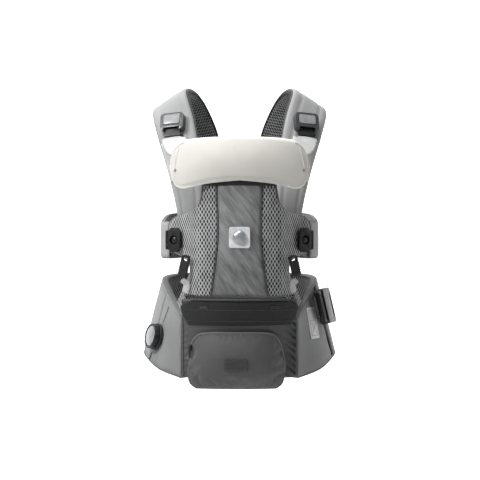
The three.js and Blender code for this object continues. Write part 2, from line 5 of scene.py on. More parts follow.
import bmesh
import bpy
import numpy as np
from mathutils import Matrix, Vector


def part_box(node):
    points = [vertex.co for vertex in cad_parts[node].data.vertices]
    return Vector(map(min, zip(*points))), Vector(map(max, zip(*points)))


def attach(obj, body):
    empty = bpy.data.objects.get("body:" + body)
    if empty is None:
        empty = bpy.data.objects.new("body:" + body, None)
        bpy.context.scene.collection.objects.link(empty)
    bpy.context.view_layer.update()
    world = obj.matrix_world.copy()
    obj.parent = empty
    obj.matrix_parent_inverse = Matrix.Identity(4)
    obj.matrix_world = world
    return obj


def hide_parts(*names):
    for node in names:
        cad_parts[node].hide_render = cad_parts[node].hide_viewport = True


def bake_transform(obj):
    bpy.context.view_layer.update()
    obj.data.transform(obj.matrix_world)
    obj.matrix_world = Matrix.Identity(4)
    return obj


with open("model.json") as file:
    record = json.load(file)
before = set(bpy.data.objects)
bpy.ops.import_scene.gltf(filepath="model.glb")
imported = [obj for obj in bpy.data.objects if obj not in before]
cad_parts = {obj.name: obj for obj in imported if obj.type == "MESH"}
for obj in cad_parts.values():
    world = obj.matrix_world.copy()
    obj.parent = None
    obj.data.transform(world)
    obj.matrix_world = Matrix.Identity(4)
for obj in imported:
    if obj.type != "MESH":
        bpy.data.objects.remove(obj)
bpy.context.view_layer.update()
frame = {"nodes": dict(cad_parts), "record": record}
MM = 0.001
SIDES = ((-1, "left"), (1, "right"))

# ---------------- curves


def spans(last, t):
    """For each share t of a row of spans, the span that it falls in and how far along that span it is."""
    for share in np.atleast_1d(t):
        place = last * min(max(share, 0), 1)
        k = min(int(place), last - 1)
        yield k, place - k


def catmull(points, t):
    """Centripetal Catmull-Rom curve through 3-D points, at shares t of its spans."""
    pts = np.array(points, float)
    last = len(pts) - 1
    out = []
    for k, w in spans(last, t):
        p1, p2 = pts[k], pts[k + 1]
        p0 = pts[k - 1] if k > 0 else 2 * p1 - p2
        p3 = pts[k + 2] if k + 2 <= last else 2 * p2 - p1
        d0, d1, d2 = (max(np.linalg.norm(b - a) ** 0.5, 1e-4) for a, b in ((p0, p1), (p1, p2), (p2, p3)))
        m1 = ((p1 - p0) / d0 - (p2 - p0) / (d0 + d1) + (p2 - p1) / d1) * d1
        m2 = ((p2 - p1) / d1 - (p3 - p1) / (d1 + d2) + (p3 - p2) / d2) * d1
        out.append(hermite(p1, p2, m1, m2, w))
    return np.array(out)


def hermite(a, b, ma, mb, w):
    """The point at share w from a to b, with slopes ma and mb at its ends."""
    return (
        (2 * w**3 - 3 * w**2 + 1) * a
        + (w**3 - 2 * w**2 + w) * ma
        + (-2 * w**3 + 3 * w**2) * b
        + (w**3 - w**2) * mb
    )


def uniform(values, t):
    """Uniform Catmull-Rom through a row of values, at shares t."""
    vals = np.array(values, float)
    last = len(vals) - 1
    out = []
    for k, w in spans(last, t):
        p0, p1, p2, p3 = vals[max(k - 1, 0)], vals[k], vals[k + 1], vals[min(k + 2, last)]
        out.append(hermite(p1, p2, (p2 - p0) / 2, (p3 - p1) / 2, w))
    return np.array(out)


def through(pairs):
    """A smooth value through [position, value] pairs."""
    samples = uniform(pairs, np.linspace(0, 1, len(pairs) * 12 + 1))
    return lambda at: np.interp(at, samples[:, 0], samples[:, 1])


def smooth(x, low, high):
    """Eased step from 0 at low to 1 at high."""
    t = np.clip((np.asarray(x, float) - low) / (high - low), 0, 1)
    return t * t * (3 - 2 * t)


def matched(a, b):
    """Two arrays of the same shape: a single value is spread over a row, and two rows make a grid."""
    return np.broadcast_arrays(np.asarray(a, float), np.asarray(b, float))


def unit(v):
    return v / np.maximum(np.linalg.norm(v, axis=-1, keepdims=True), 1e-9)


def distance(pts):
    """How far along a path each of its points is."""
    return np.concatenate([[0], np.cumsum(np.linalg.norm(np.diff(pts, axis=0), axis=1))])


def even(points, count):
    """The same path with evenly spaced points."""
    pts = np.array(points, float)
    run = distance(pts)
    at = np.linspace(0, run[-1], count)
    return np.stack([np.interp(at, run, pts[:, k]) for k in range(3)], 1)


# ---------------- meshes


def linked(name, data):
    obj = bpy.data.objects.new(name, data)
    bpy.context.scene.collection.objects.link(obj)
    return obj


def smooth_all(mesh):
    mesh.polygons.foreach_set("use_smooth", [True] * len(mesh.polygons))


def make_object(name, verts, faces, uvs):
    mesh = bpy.data.meshes.new(name)
    mesh.from_pydata([tuple(v) for v in verts], [], faces)
    mesh.validate()
    layer = mesh.uv_layers.new(name="cloth")
    index = np.empty(len(mesh.loops), int)
    mesh.loops.foreach_get("vertex_index", index)
    layer.data.foreach_set("uv", np.asarray(uvs, float)[index].ravel())
    smooth_all(mesh)
    mesh.update()
    obj = linked(name, mesh)
    face_out(obj)
    return obj


def face_out(obj):
    """Turns a closed mesh's faces outwards."""
    bm = bmesh.new()
    bm.from_mesh(obj.data)
    bmesh.ops.recalc_face_normals(bm, faces=bm.faces)
    if bm.calc_volume(signed=True) < 0:
        bmesh.ops.reverse_faces(bm, faces=bm.faces)
    bm.to_mesh(obj.data)
    bm.free()


def grid_normals(base):
    du = np.gradient(base, axis=0)
    dv = np.gradient(base, axis=1)
    return unit(np.cross(du, dv))


def arc(base, axis):
    """Distance of a grid's points from the middle of their row, and the row's full length."""
    step = np.linalg.norm(np.diff(base, axis=axis), axis=2)
    pad = np.zeros((1, base.shape[1])) if axis == 0 else np.zeros((base.shape[0], 1))
    run = np.concatenate([pad, np.cumsum(step, axis=axis)], axis=axis)
    middle = run[-1:, :] / 2 if axis == 0 else run[:, -1:] / 2
    return run - middle, 2 * middle * np.ones_like(run)


def shell_faces(nu, nv):
    """Faces of a closed shell of two grids of nu by nv points, joined round their edges."""

    def at(side, i, j):
        return side * nu * nv + i * nv + j

    faces = []
    for i in range(nu - 1):
        for j in range(nv - 1):
            faces.append((at(0, i, j), at(0, i + 1, j), at(0, i + 1, j + 1), at(0, i, j + 1)))
            faces.append((at(1, i, j), at(1, i, j + 1), at(1, i + 1, j + 1), at(1, i + 1, j)))
    for i in range(nu - 1):
        faces.append((at(0, i, 0), at(1, i, 0), at(1, i + 1, 0), at(0, i + 1, 0)))
        faces.append((at(0, i, nv - 1), at(0, i + 1, nv - 1), at(1, i + 1, nv - 1), at(1, i, nv - 1)))
    for j in range(nv - 1):
        faces.append((at(0, 0, j), at(0, 0, j + 1), at(1, 0, j + 1), at(1, 0, j)))
        faces.append((at(0, nu - 1, j), at(1, nu - 1, j), at(1, nu - 1, j + 1), at(0, nu - 1, j + 1)))
    return faces


def shell(name, outer, inner, cloth):
    """A closed piece between two grids of points; cloth is their flat coordinates (all mm)."""
    verts = np.concatenate([outer.reshape(-1, 3), inner.reshape(-1, 3)]) * MM
    uv = np.stack(cloth, -1).reshape(-1, 2) * MM
    return make_object(name, verts, shell_faces(*outer.shape[:2]), np.concatenate([uv, uv]))


def pad(name, base, front, back, edge=6, thin=0.25, puff=0, ripple=None, flat=None):
    """A closed padded piece on a grid of points (mm): front and back are its depths along the normal."""
    base = np.array(base, float)
    normal = grid_normals(base)
    across_u, full_u = arc(base, 0)
    across_v, full_v = arc(base, 1)
    to_side = np.minimum(full_u / 2 - np.abs(across_u), full_v / 2 - np.abs(across_v))
    near = 1 - np.clip(to_side / edge, 0, 1)
    round_off = thin + (1 - thin) * np.sqrt(np.clip(1 - near**2, 0, 1))
    mid_u = 1 - (2 * np.abs(across_u) / np.maximum(full_u, 1e-6)) ** 2
    mid_v = 1 - (2 * np.abs(across_v) / np.maximum(full_v, 1e-6)) ** 2
    crown = puff * np.sqrt(np.clip(mid_u * mid_v, 0, 1))
    middle = (front + back) / 2
    high = middle + (front - middle) * round_off + crown
    low = middle + (back - middle) * round_off
    if ripple is not None:
        high = high + ripple(across_u, across_v, full_u, full_v) * (1 - near)
    cloth = [across_u, across_v] if flat is None else flat
    return shell(name, base + normal * high[..., None], base + normal * low[..., None], cloth)


def swept(path, across, radius_a, radius_b, sides=8):
    """Verts, faces and UVs of a tube round a path (mm); across is its section's first axis."""
    pts = np.array(path, float)
    tangent = unit(np.gradient(pts, axis=0))
    a = np.array(across, float) * np.ones_like(pts)
    a = unit(a - tangent * np.sum(a * tangent, axis=1, keepdims=True))
    b = np.cross(tangent, a)
    angle = np.linspace(0, 2 * np.pi, sides, endpoint=False)
    ring = (
        pts[:, None]
        + a[:, None] * (radius_a * np.cos(angle))[None, :, None]
        + b[:, None] * (radius_b * np.sin(angle))[None, :, None]
    )
    n = len(pts)
    run = distance(pts)
    uv = np.stack([np.repeat(run, sides), np.tile(angle * (radius_a + radius_b) / 2, n)], 1)
    faces = []
    for i in range(n - 1):
        for k in range(sides):
            m = (k + 1) % sides
            faces.append((i * sides + k, (i + 1) * sides + k, (i + 1) * sides + m, i * sides + m))
    faces.append(tuple(range(sides)))
    faces.append(tuple((n - 1) * sides + k for k in reversed(range(sides))))
    return ring.reshape(-1, 3) * MM, faces, uv * MM


def merge(parts):
    """Several meshes' verts, faces and UVs as one mesh's."""
    verts, faces, uvs, start = [], [], [], 0
    for v, f, t in parts:
        verts.append(v)
        uvs.append(t)
        faces += [tuple(start + k for k in face) for face in f]
        start += len(v)
    return np.concatenate(verts), faces, np.concatenate(uvs)


def piping(name, path, across, look, radius, count, flat=None, body="carrier", fill=None):
    """A tube along a path (mm); flat is its half height along across, when it isn't round."""
    pts = even(path, count)
    if np.ndim(across) == 2:
        across = even(across, count)
    tube = make_object(name, *swept(pts, across, flat or radius, radius))
    return settle(tube, look, body=body, fill=fill)


def stitches(name, path, normal, look, length=3.2, gap=1.6, radius=0.42, body="carrier"):
    """A sewn line: short raised threads along a path; normal points out of the cloth (all mm)."""
    pts = np.array(path, float)
    count = max(int(distance(pts)[-1] / (length + gap)), 1)
    fine = even(pts, count * 6 + 1)
    fine_normal = unit(even(np.array(normal, float) * np.ones((len(pts), 3)), count * 6 + 1))
    lift = np.array([-0.3, 0.25, 0.4, 0.25, -0.3])[:, None] * radius * 1.4
    parts = []
    for start in range(0, 6 * count, 6):  # five points of each six are thread, and one is the gap
        up = fine_normal[start : start + 5]
        parts.append(swept(fine[start : start + 5] + up * lift, up, radius, radius, 5))
    return settle(make_object(name, *merge(parts)), look, body=body)


# ---------------- cloth


def simulate(obj, shape, pressure, grow, cap, frames=20):
    """Inflates a shell of two grids of that shape a little with Blender's cloth, by cap mm at most."""
    hold = np.ones((2, *shape))
    hold[0, 1:-1, 1:-1] = 0  # sewn down round its edge and all over its back
    scene = bpy.context.scene
    group = obj.vertex_groups.new(name="sewn")
    group.add([int(k) for k in np.flatnonzero(hold)], 1.0, "REPLACE")
    before = np.array([v.co for v in obj.data.vertices])
    cloth = obj.modifiers.new("cloth", "CLOTH")
    settings = cloth.settings
    settings.quality = 5
    settings.mass = 0.2
    settings.use_pressure = True
    settings.uniform_pressure_force = pressure
    settings.vertex_group_mass = "sewn"
    settings.shrink_min = -grow
    settings.bending_stiffness = 0.6
    settings.effector_weights.gravity = 0
    cloth.collision_settings.use_collision = False
    cloth.point_cache.frame_start = 1
    cloth.point_cache.frame_end = frames
    for f in range(1, frames + 1):
        scene.frame_set(f)
    graph = bpy.context.evaluated_depsgraph_get()
    shaped = obj.evaluated_get(graph).to_mesh()
    after = np.array([v.co for v in shaped.vertices])
    obj.evaluated_get(graph).to_mesh_clear()
    obj.modifiers.remove(cloth)
    scene.frame_set(1)
    move = after - before
    size = np.linalg.norm(move, axis=1, keepdims=True)
    move *= np.minimum(1, cap * MM / np.maximum(size, 1e-9))
    obj.data.vertices.foreach_set("co", (before + move).ravel())
    obj.vertex_groups.remove(group)
    obj.data.update()


def softened(obj, levels=1):
    modifier = obj.modifiers.new("soft", "SUBSURF")
    modifier.levels = modifier.render_levels = levels
    return baked(obj)


def baked(obj):
    """Applies every modifier of a piece."""
    graph = bpy.context.evaluated_depsgraph_get()
    mesh = bpy.data.meshes.new_from_object(obj.evaluated_get(graph))
    obj.modifiers.clear()
    obj.data = mesh
    return obj


def welded(node, ending):
    """A copy of a CAD piece with its doubled vertices joined."""
    copy = linked(f"{node}_{ending}", frame["nodes"][node].data.copy())
    weld = copy.modifiers.new("weld", "WELD")
    weld.merge_threshold = 1e-5
    return copy


def bevelled(copy, width, segments, angle):
    """Breaks every edge sharper than angle degrees, and shades the piece smooth."""
    bevel = copy.modifiers.new("bevel", "BEVEL")
    bevel.width = width * MM
    bevel.segments = segments
    bevel.limit_method = "ANGLE"
    bevel.angle_limit = math.radians(angle)
    smooth_all(baked(copy).data)


# ---------------- materials


class Nodes:
    """Short names for building a material's node tree."""

    def __init__(self, name, rough=0.6, color=(0.5, 0.5, 0.5), metal=0.0, **fixed):
        self.mat = bpy.data.materials.new(name)
        self.mat.use_nodes = True
        self.tree = self.mat.node_tree
        self.tree.nodes.clear()
        self.shader = self.new("BsdfPrincipled")
        self.put(self.new("OutputMaterial").inputs["Surface"], self.shader.outputs["BSDF"])
        self.shader.inputs["Roughness"].default_value = rough
        self.shader.inputs["Metallic"].default_value = metal
        self.shader.inputs["Base Color"].default_value = (*color, 1)
        for socket, value in fixed.items():
            self.shader.inputs[socket.replace("_", " ")].default_value = value
        self.mat.diffuse_color = (*color, 1)

    def new(self, kind):
        return self.tree.nodes.new("ShaderNode" + kind)

    def put(self, socket, value):
        if hasattr(value, "is_output"):
            self.tree.links.new(value, socket)
        else:
            socket.default_value = value

    def math(self, op, a, b=0.0, c=None):
        node = self.new("Math")
        node.operation = op
        self.put(node.inputs[0], a)
        self.put(node.inputs[1], b)
        if c is not None:
            self.put(node.inputs[2], c)
        return node.outputs[0]

    def times(self, a, b):
        return self.math("MULTIPLY", a, b)

    def plus(self, a, b):
        return self.math("ADD", a, b)

    def minus(self, a, b):
        return self.math("SUBTRACT", a, b)

    def uv(self):
        """The piece's own flat coordinates in millimetres, as (u, v)."""
        node = self.new("UVMap")
        node.uv_map = "cloth"
        return self.millimetres(node.outputs[0])[:2]

    def millimetres(self, vector):
        split = self.new("SeparateXYZ")
        self.put(split.inputs[0], vector)
        return [self.times(output, 1000.0) for output in split.outputs]

    def place(self):
        """Object coordinates in millimetres, as (x, y, z)."""
        return self.millimetres(self.new("TexCoord").outputs["Object"])

    def spot(self):
        return self.join(*self.place())

    def join(self, x, y, z):
        node = self.new("CombineXYZ")
        for socket, value in zip(node.inputs, (x, y, z)):
            self.put(socket, value)
        return node.outputs[0]

    def noise(self, vector, scale, detail=3.0, rough=0.5):
        node = self.new("TexNoise")
        for key, value in (("Vector", vector), ("Scale", scale), ("Detail", detail), ("Roughness", rough)):
            self.put(node.inputs[key], value)
        return node.outputs[0]

    def span(self, value, low, high, to_low=0.0, to_high=1.0):
        node = self.new("MapRange")
        node.interpolation_type = "SMOOTHSTEP"
        for key, number in zip(("From Min", "From Max", "To Min", "To Max"), (low, high, to_low, to_high)):
            node.inputs[key].default_value = number
        self.put(node.inputs["Value"], value)
        return node.outputs[0]

    def blend(self, share, a, b):
        node = self.new("Mix")
        node.data_type = "RGBA"
        self.put(node.inputs["Factor"], share)
        for key, value in (("A", a), ("B", b)):
            socket = [s for s in node.inputs if s.name == key and s.type == "RGBA"][0]
            self.put(socket, (*value, 1) if isinstance(value, tuple) else value)
        return [s for s in node.outputs if s.type == "RGBA"][0]

    def color(self, value):
        self.put(self.shader.inputs["Base Color"], value)

    def rough(self, value):
        self.put(self.shader.inputs["Roughness"], value)

    def bump(self, height, strength=0.4, distance=0.5):
        node = self.new("Bump")
        node.inputs["Strength"].default_value = strength
        node.inputs["Distance"].default_value = distance * MM
        self.put(node.inputs["Height"], height)
        self.put(self.shader.inputs["Normal"], node.outputs[0])

    def wave(self, value, pitch):
        """0..1 ripple with a period of pitch millimetres."""
        turn = self.times(value, 2 * math.pi / pitch)
        return self.math("MULTIPLY_ADD", self.math("SINE", turn), 0.5, 0.5)


def scaled(color, by):
    return tuple(min(c * by, 1) for c in color)


def woven(name, color, pitch=1.1, vary=0.1, rough=0.7, sheen=0.1, relief=0.35):
    n = Nodes(name, rough, color, Sheen_Weight=sheen, Sheen_Roughness=0.45)
    u, v = n.uv()
    spot = n.spot()
    weave = n.times(n.wave(n.plus(u, v), pitch), n.wave(n.minus(u, v), pitch))
    cloud = n.noise(spot, 0.02, 4.0)
    fibre = n.noise(spot, 0.9, 2.0)
    tone = n.plus(n.span(cloud, 0.3, 0.7, -vary, vary), n.span(fibre, 0.3, 0.7, -vary / 2, vary / 2))
    tone = n.plus(tone, n.times(weave, 0.12))
    dark = scaled(color, 0.72)
    light = scaled(color, 1.22)
    n.color(n.blend(n.plus(tone, 0.45), dark, light))
    n.rough(n.span(fibre, 0.2, 0.8, rough - 0.08, rough + 0.1))
    n.bump(n.plus(n.times(weave, 0.6), n.times(fibre, 0.5)), relief, 0.4)
    return n.mat


def spacer(name, thread, hole, pitch=(6.8, 12.4), size=(1.9, 4.1), painted_side_shade=None, rough=0.85):
    """Warp-knitted spacer mesh: staggered rows of lens-shaped holes between thick threads, and when asked,
    painted shade that darkens it towards the sides.
    """
    n = Nodes(name, rough, thread, Sheen_Weight=0.15)
    u, v = n.uv()

    def lattice(shift):
        cell = []
        for value, step, half in zip((u, v), pitch, size):
            turn = n.plus(n.math("DIVIDE", value, step), shift)
            turn = n.minus(n.math("FRACT", turn), 0.5)
            cell.append(n.math("ABSOLUTE", n.times(turn, step / half)))
        return n.plus(n.math("POWER", cell[0], 1.5), n.math("POWER", cell[1], 1.5))

    near = n.math("MINIMUM", lattice(0.25), lattice(0.75))
    cloud = n.noise(n.spot(), 0.05, 3.0)
    near = n.plus(near, n.span(cloud, 0.3, 0.7, -0.15, 0.15))
    mask = n.span(near, 0.75, 1.15)
    # Painted shade: between the first two distances (mm) out from the middle, the mesh is mixed towards the
    # hole colour up to the third share, so the panel's sides look shaded where they turn back.
    if painted_side_shade:
        side = n.span(n.math("ABSOLUTE", n.place()[0]), painted_side_shade[0], painted_side_shade[1], 0.0, painted_side_shade[2])
        mask = n.math("MAXIMUM", mask, side)
    strand = n.wave(n.plus(u, n.times(v, 0.4)), 0.9)
    shade = n.blend(strand, scaled(thread, 0.8), thread)
    n.color(n.blend(mask, hole, shade))
    n.bump(n.plus(mask, n.times(strand, 0.15)), 0.7, 1.0)
    return n.mat


def jacquard(name, low, high):
    """Slanting brush-like streaks woven tone on tone."""
    n = Nodes(name, 0.55, low, Sheen_Weight=0.2, Sheen_Roughness=0.4)
    u, v = n.uv()
    slant = math.radians(56)
    along = n.minus(n.times(u, math.cos(slant)), n.times(v, math.sin(slant)))
    over = n.plus(n.times(u, math.sin(slant)), n.times(v, math.cos(slant)))
    streak = n.noise(n.join(n.times(along, 0.018), n.times(over, 0.065), 3.7), 1.0, 2.0)
    leaf = n.noise(n.join(n.times(along, 0.035), n.times(over, 0.2), 9.1), 1.0, 1.0)
    mask = n.plus(n.span(streak, 0.32, 0.68, 0.0, 0.7), n.span(leaf, 0.42, 0.62, 0.0, 0.3))
    thread = n.wave(over, 1.2)
    n.color(n.blend(n.math("MULTIPLY_ADD", thread, 0.08, mask), low, high))
    n.rough(n.span(streak, 0.4, 0.6, 0.62, 0.45))
    n.bump(n.plus(n.times(mask, 0.5), n.times(thread, 0.4)), 0.4, 0.5)
    return n.mat


def moulded(name, color, rough=0.3, grain=0.25, coat=0.0, metal=0.0):
    """Moulded plastic or plated metal with a fine grain and a little uneven polish."""
    n = Nodes(name, rough, color, metal, Coat_Weight=coat, Coat_Roughness=0.15)
    spot = n.spot()
    grainy = n.noise(spot, 1.6, 3.0)
    cloud = n.noise(spot, 0.06, 3.0)
    polish = n.span(cloud, 0.3, 0.7, rough - 0.06, rough + 0.08)
    n.rough(n.plus(polish, n.times(grainy, 0.05)))
    dark = scaled(color, 0.85)
    light = scaled(color, 1.2)
    n.color(n.blend(n.span(cloud, 0.25, 0.75), dark, light))
    n.bump(grainy, grain, 0.08)
    return n.mat


def ribbed_tape(name, color, pitch=1.6):
    n = Nodes(name, 0.7, color, Sheen_Weight=0.2)
    u, v = n.uv()
    rib = n.wave(u, pitch)
    cross = n.wave(v, pitch * 0.6)
    thread = n.noise(n.spot(), 0.5, 3.0)
    shade = n.plus(n.times(rib, 0.4), n.times(thread, 0.5))
    n.color(n.blend(shade, scaled(color, 0.8), color))
    n.bump(n.plus(rib, n.times(cross, 0.5)), 0.4, 0.3)
    return n.mat


# Each look is a slot of the record and the material that it shows.
LOOK = {
    "grey": ("grey_fabric", woven("grey_cloth", (0.265, 0.267, 0.27))),
    "strap": ("grey_fabric", woven("strap_cloth", (0.37, 0.372, 0.375), vary=0.06)),
    # Painted shade: the pocket and the seat front wear the grey fabric as a much darker copy, standing in
    # for the shade on their front faces, which turn from the lamps.
    "pocket": ("grey_fabric", woven("pocket_shaded_cloth", (0.098, 0.0985, 0.1))),
    "dark": ("dark_fabric", woven("dark_cloth", (0.017, 0.0172, 0.018), vary=0.08, rough=0.75, sheen=0.05)),
    "cream": (
        "cream_fabric",
        woven("cream_cotton", (0.80, 0.775, 0.725), pitch=1.4, vary=0.05, rough=0.75, relief=0.25),
    ),
    # The mesh carries painted shade towards the sides: it is darker from 110 to 150 mm out.
    "mesh": (
        "spacer_mesh",
        spacer("spacer_mesh", (0.5, 0.503, 0.506), (0.012, 0.012, 0.013), painted_side_shade=(110, 150, 0.3)),
    ),
    "lining": (
        "dark_mesh",
        spacer("dark_mesh", (0.3, 0.302, 0.305), (0.007, 0.007, 0.008), pitch=(7.2, 11.4), size=(2.1, 3.8)),
    ),
    "jacquard": ("jacquard", jacquard("jacquard_cloth", (0.12, 0.121, 0.123), (0.28, 0.283, 0.287))),
    "tape": ("white_webbing", ribbed_tape("white_tape", (0.66, 0.66, 0.66))),
    "label": ("white_webbing", woven("label_cloth", (0.86, 0.855, 0.83), pitch=0.8, vary=0.04)),
    "piping": ("dark_fabric", woven("piping_cloth", (0.06, 0.0605, 0.062), pitch=0.9, vary=0.05)),
    "grey_piping": ("grey_fabric", woven("grey_piping_cloth", (0.17, 0.171, 0.174), pitch=0.9, vary=0.05)),
    "cream_piping": (
        "cream_fabric", woven("cream_piping_cloth", (0.84, 0.81, 0.755), pitch=0.9, vary=0.03),
    ),
    "pale": ("white_webbing", woven("pale_cloth", (0.6, 0.6, 0.595), vary=0.05)),
    "frame": ("grey_plastic", moulded("buckle_frame_plastic", (0.055, 0.056, 0.058), 0.34, coat=0.15)),
    "plating": ("silver", moulded("brushed_plate", (0.84, 0.855, 0.875), 0.42, metal=0.35)),
    "dome": ("silver", moulded("satin_dome", (0.42, 0.44, 0.465), 0.4, metal=0.7)),
    "thread": ("grey_fabric", moulded("sewing_thread", (0.11, 0.11, 0.113), 0.6)),
    "light_thread": ("white_webbing", moulded("light_thread", (0.62, 0.61, 0.59), 0.6)),
    "black": ("black_plastic", moulded("black_plastic", (0.01, 0.01, 0.011), 0.4, coat=0.12)),
    "satin_black": ("black_plastic", moulded("satin_black_plastic", (0.014, 0.014, 0.015), 0.46)),
    "grey_plastic": ("grey_plastic", moulded("grey_plastic", (0.27, 0.273, 0.279), 0.34, coat=0.15)),
    "silver": ("silver", moulded("silver_plate", (0.46, 0.47, 0.485), 0.4, metal=0.8)),
    "rubber": ("rubber_patch", moulded("soft_patch", (0.045, 0.0455, 0.047), 0.6, grain=0.5)),
}


def settle(obj, look, *nodes, body="carrier", fill=None):
    """Gives a piece its look and its body; nodes are the CAD pieces that it stands for."""
    slot, material = LOOK[look]
    if obj.data.materials:
        obj.data.materials[0] = material
    else:
        obj.data.materials.append(material)
    if body:
        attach(obj, body)
    if nodes:
        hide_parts(*nodes)
    return obj


def rounded(node, look, width, body="carrier"):
    """A moulded CAD piece with its edges broken, in place of the plain node."""
    copy = welded(node, "moulded")
    bevelled(copy, width, 3, 32)
    copy.data.materials.clear()
    copy.data.set_sharp_from_angle(angle=math.radians(35))
    return settle(copy, look, node, body=body)


def domed(node, look, body="carrier"):
    """A curved CAD piece made smooth all over, in place of the plain node."""
    copy = welded(node, "fine")
    bevelled(copy, 0.3, 2, 50)
    return settle(softened(copy), look, node, body=body)


# ---------------- the front panel

PANEL = dict(bottom=195, top=496, wrap=0.003, wing_from=72, wing_flat=128, sweep=55)
panel_middle = through([[190, -160], [310, -166], [420, -155], [496, -140]])
strip_half = through([[190, 57], [307, 42.5], [412, 45], [496, 46]])
PANEL_EDGE = [
    [195, 112], [210, 104], [232, 100], [255, 100], [266, 105], [276, 121], [287, 140], [305, 146],
    [330, 146], [344, 143], [354, 131], [360, 112], [368, 91], [382, 77], [405, 72], [440, 71], [496, 73],
]


def panel_y(x, z):
    x = np.abs(np.asarray(x, float))
    swept_back = PANEL["sweep"] * smooth(x, PANEL["wing_from"], PANEL["wing_flat"])
    return panel_middle(z) + PANEL["wrap"] * x * x + swept_back


def panel_cloth(base):
    """Flat coordinates of panel points: distance round the panel from its middle, and height."""
    reach = np.linspace(0, 170, 341)
    rise = np.gradient(panel_y(reach, 300 * np.ones(341)), reach)
    run = np.concatenate([[0], np.cumsum(np.sqrt(1 + rise[1:] ** 2) * np.diff(reach))])
    run = 0.35 * run + 0.65 * reach  # the knit is stretched where the wing turns back
    return [np.sign(base[..., 0]) * np.interp(np.abs(base[..., 0]), reach, run), base[..., 2]]


def panel_point(x, z):
    x, z = matched(x, z)
    return np.stack([x, panel_y(x, z), z], -1)


def outline(rows):
    """Half width x and height z of the whole panel, from the seat up to the neck."""
    points = uniform(PANEL_EDGE, np.linspace(0, 1, rows))
    return points[:, 1], points[:, 0]


def front_of(points, lift):
    """Panel points moved towards the front by lift millimetres."""
    shifted = np.array(points, float)
    shifted[..., 1] -= lift
    return shifted


def make_panel():
    z = np.linspace(PANEL["bottom"], PANEL["top"], 60)
    share = np.linspace(-1, 1, 22)
    strip = panel_point(share[:, None] * strip_half(z), z)
    cloth = pad("panel_centre_cloth", strip, 4, 0.2, edge=5, puff=2.5, flat=panel_cloth(strip))
    settle(cloth, "jacquard", "panel_centre_strip", fill=0.3)
    rows = 110
    edge_x, edge_z = outline(rows)
    for side, name in SIDES:
        inner = strip_half(edge_z) + 0.8
        t = np.linspace(0, 1, 34)[:, None]
        x = side * (inner[None, :] * (1 - t) + edge_x[None, :] * t)
        base = panel_point(x, edge_z)
        if side < 0:
            base = base[::-1]
        piece = pad(f"panel_mesh_cloth_{name}", base, 4, 0.2, edge=4, puff=1.5, flat=panel_cloth(base))
        settle(piece, "mesh", f"panel_mesh_{name}", fill=0.3)
        seam = panel_point(side * (strip_half(z) + 0.4), z)
        piping(f"panel_piping_{name}", front_of(seam, 3.8), (1, 0, 0), "piping", 1.5, 70)
        for inset, label in ((3.4, "inner"), (-3.4, "outer")):
            row = front_of(panel_point(side * (strip_half(z) - inset), z), 5.2)
            stitches(f"panel_stitch_{label}_{name}", row, (0, -1, 0), "thread")
        rim = panel_point(side * edge_x, edge_z)
        away = np.gradient(rim, axis=0)
        out = unit(np.cross(away, (0, 1, 0)) * side)
        normal = np.cross(unit(away), out)
        path = rim + np.array([0, 2.6, 0])
        piping(f"panel_binding_{name}", path, normal, "grey_piping", 2.2, 150, flat=6.4)
    full = np.linspace(-1, 1, 61)[:, None]
    lining = panel_point(full * (edge_x - 1), edge_z)
    backing = pad("panel_lining_cloth", lining, -1.6, -8, edge=5, flat=panel_cloth(lining))
    settle(backing, "lining", "panel_lining", fill=0.5)
    # A dark band under the head support's arch: partly the panel's dark top edge, partly painted shadow
    # where the head support shades the panel.
    neck = panel_point(share[:, None] * 73.5, np.linspace(416, 500, 18))
    settle(pad("panel_neck_band_and_shadow", front_of(neck, 5.6), 3, -1.5, edge=3), "dark", fill=0.3)


def make_gussets():
    """Mesh gussets that flare from the panel's lower edges to the top of the belt."""
    for side, name in SIDES:
        z = np.linspace(244, 192, 26)
        inner = np.interp(z, [192, 210, 232, 244], [112, 103, 99, 99])
        from_panel = panel_point(side * inner, z) + np.array([0, 4, 0])
        share = np.linspace(0.075, 0.004, 26)
        rim = catmull(mirrored(BELT_HIGH), share)
        rim[:, 0] = side * np.abs(rim[:, 0])
        rim += np.array([-side * 5, 4, -4])
        t = np.linspace(0, 1, 18)[:, None, None]
        base = from_panel[None] * (1 - t) + rim[None] * t
        base[..., 1] += 7 * np.sin(np.pi * t[..., 0])
        if side > 0:
            base = base[:, ::-1]
        settle(pad(f"gusset_mesh_{name}", base, 1.6, -1.6, edge=2, puff=0.6), "mesh", fill=0.2)


def make_badge():
    rounded("badge_plate", "plating", 0.9)
    domed("badge_dome", "dome")


# ---------------- the hip seat and its pocket

seat_front = through([[0, -86], [22, -92], [70, -108], [120, -128], [160, -146], [190, -160]])
SEAT = dict(bottom=22, cover_top=186, half=117)


def seat_point(x, z):
    x, z = matched(x, z)
    wrap = 0.0012 + (PANEL["wrap"] - 0.0012) * smooth(z, 22, 150)
    return np.stack([x, seat_front(z) + wrap * x * x, z], -1)


GATHERS = dict(right_depth=6.2, right_reach=34, left_depth=1.4, left_reach=22)


def gathers(across_u, across_v, full_u, _full_v):
    """Ruffles that fan in from the two side seams, deeper on the buckle side."""
    right_reach, left_reach = GATHERS["right_reach"], GATHERS["left_reach"]
    right = GATHERS["right_depth"] * np.clip((across_u - 0.5 * full_u) / right_reach + 1, 0, 1) ** 1.3
    left = GATHERS["left_depth"] * np.clip((-across_u - 0.5 * full_u) / left_reach + 1, 0, 1) ** 1.3
    slope = across_v + 0.85 * (across_u - 0.5 * full_u)
    fold = np.sin(2 * np.pi * slope / 14.5) + 0.4 * np.sin(2 * np.pi * slope / 9.1 + 1)
    other = np.sin(2 * np.pi * (across_v - 0.3 * across_u) / 13)
    return right * fold + left * other


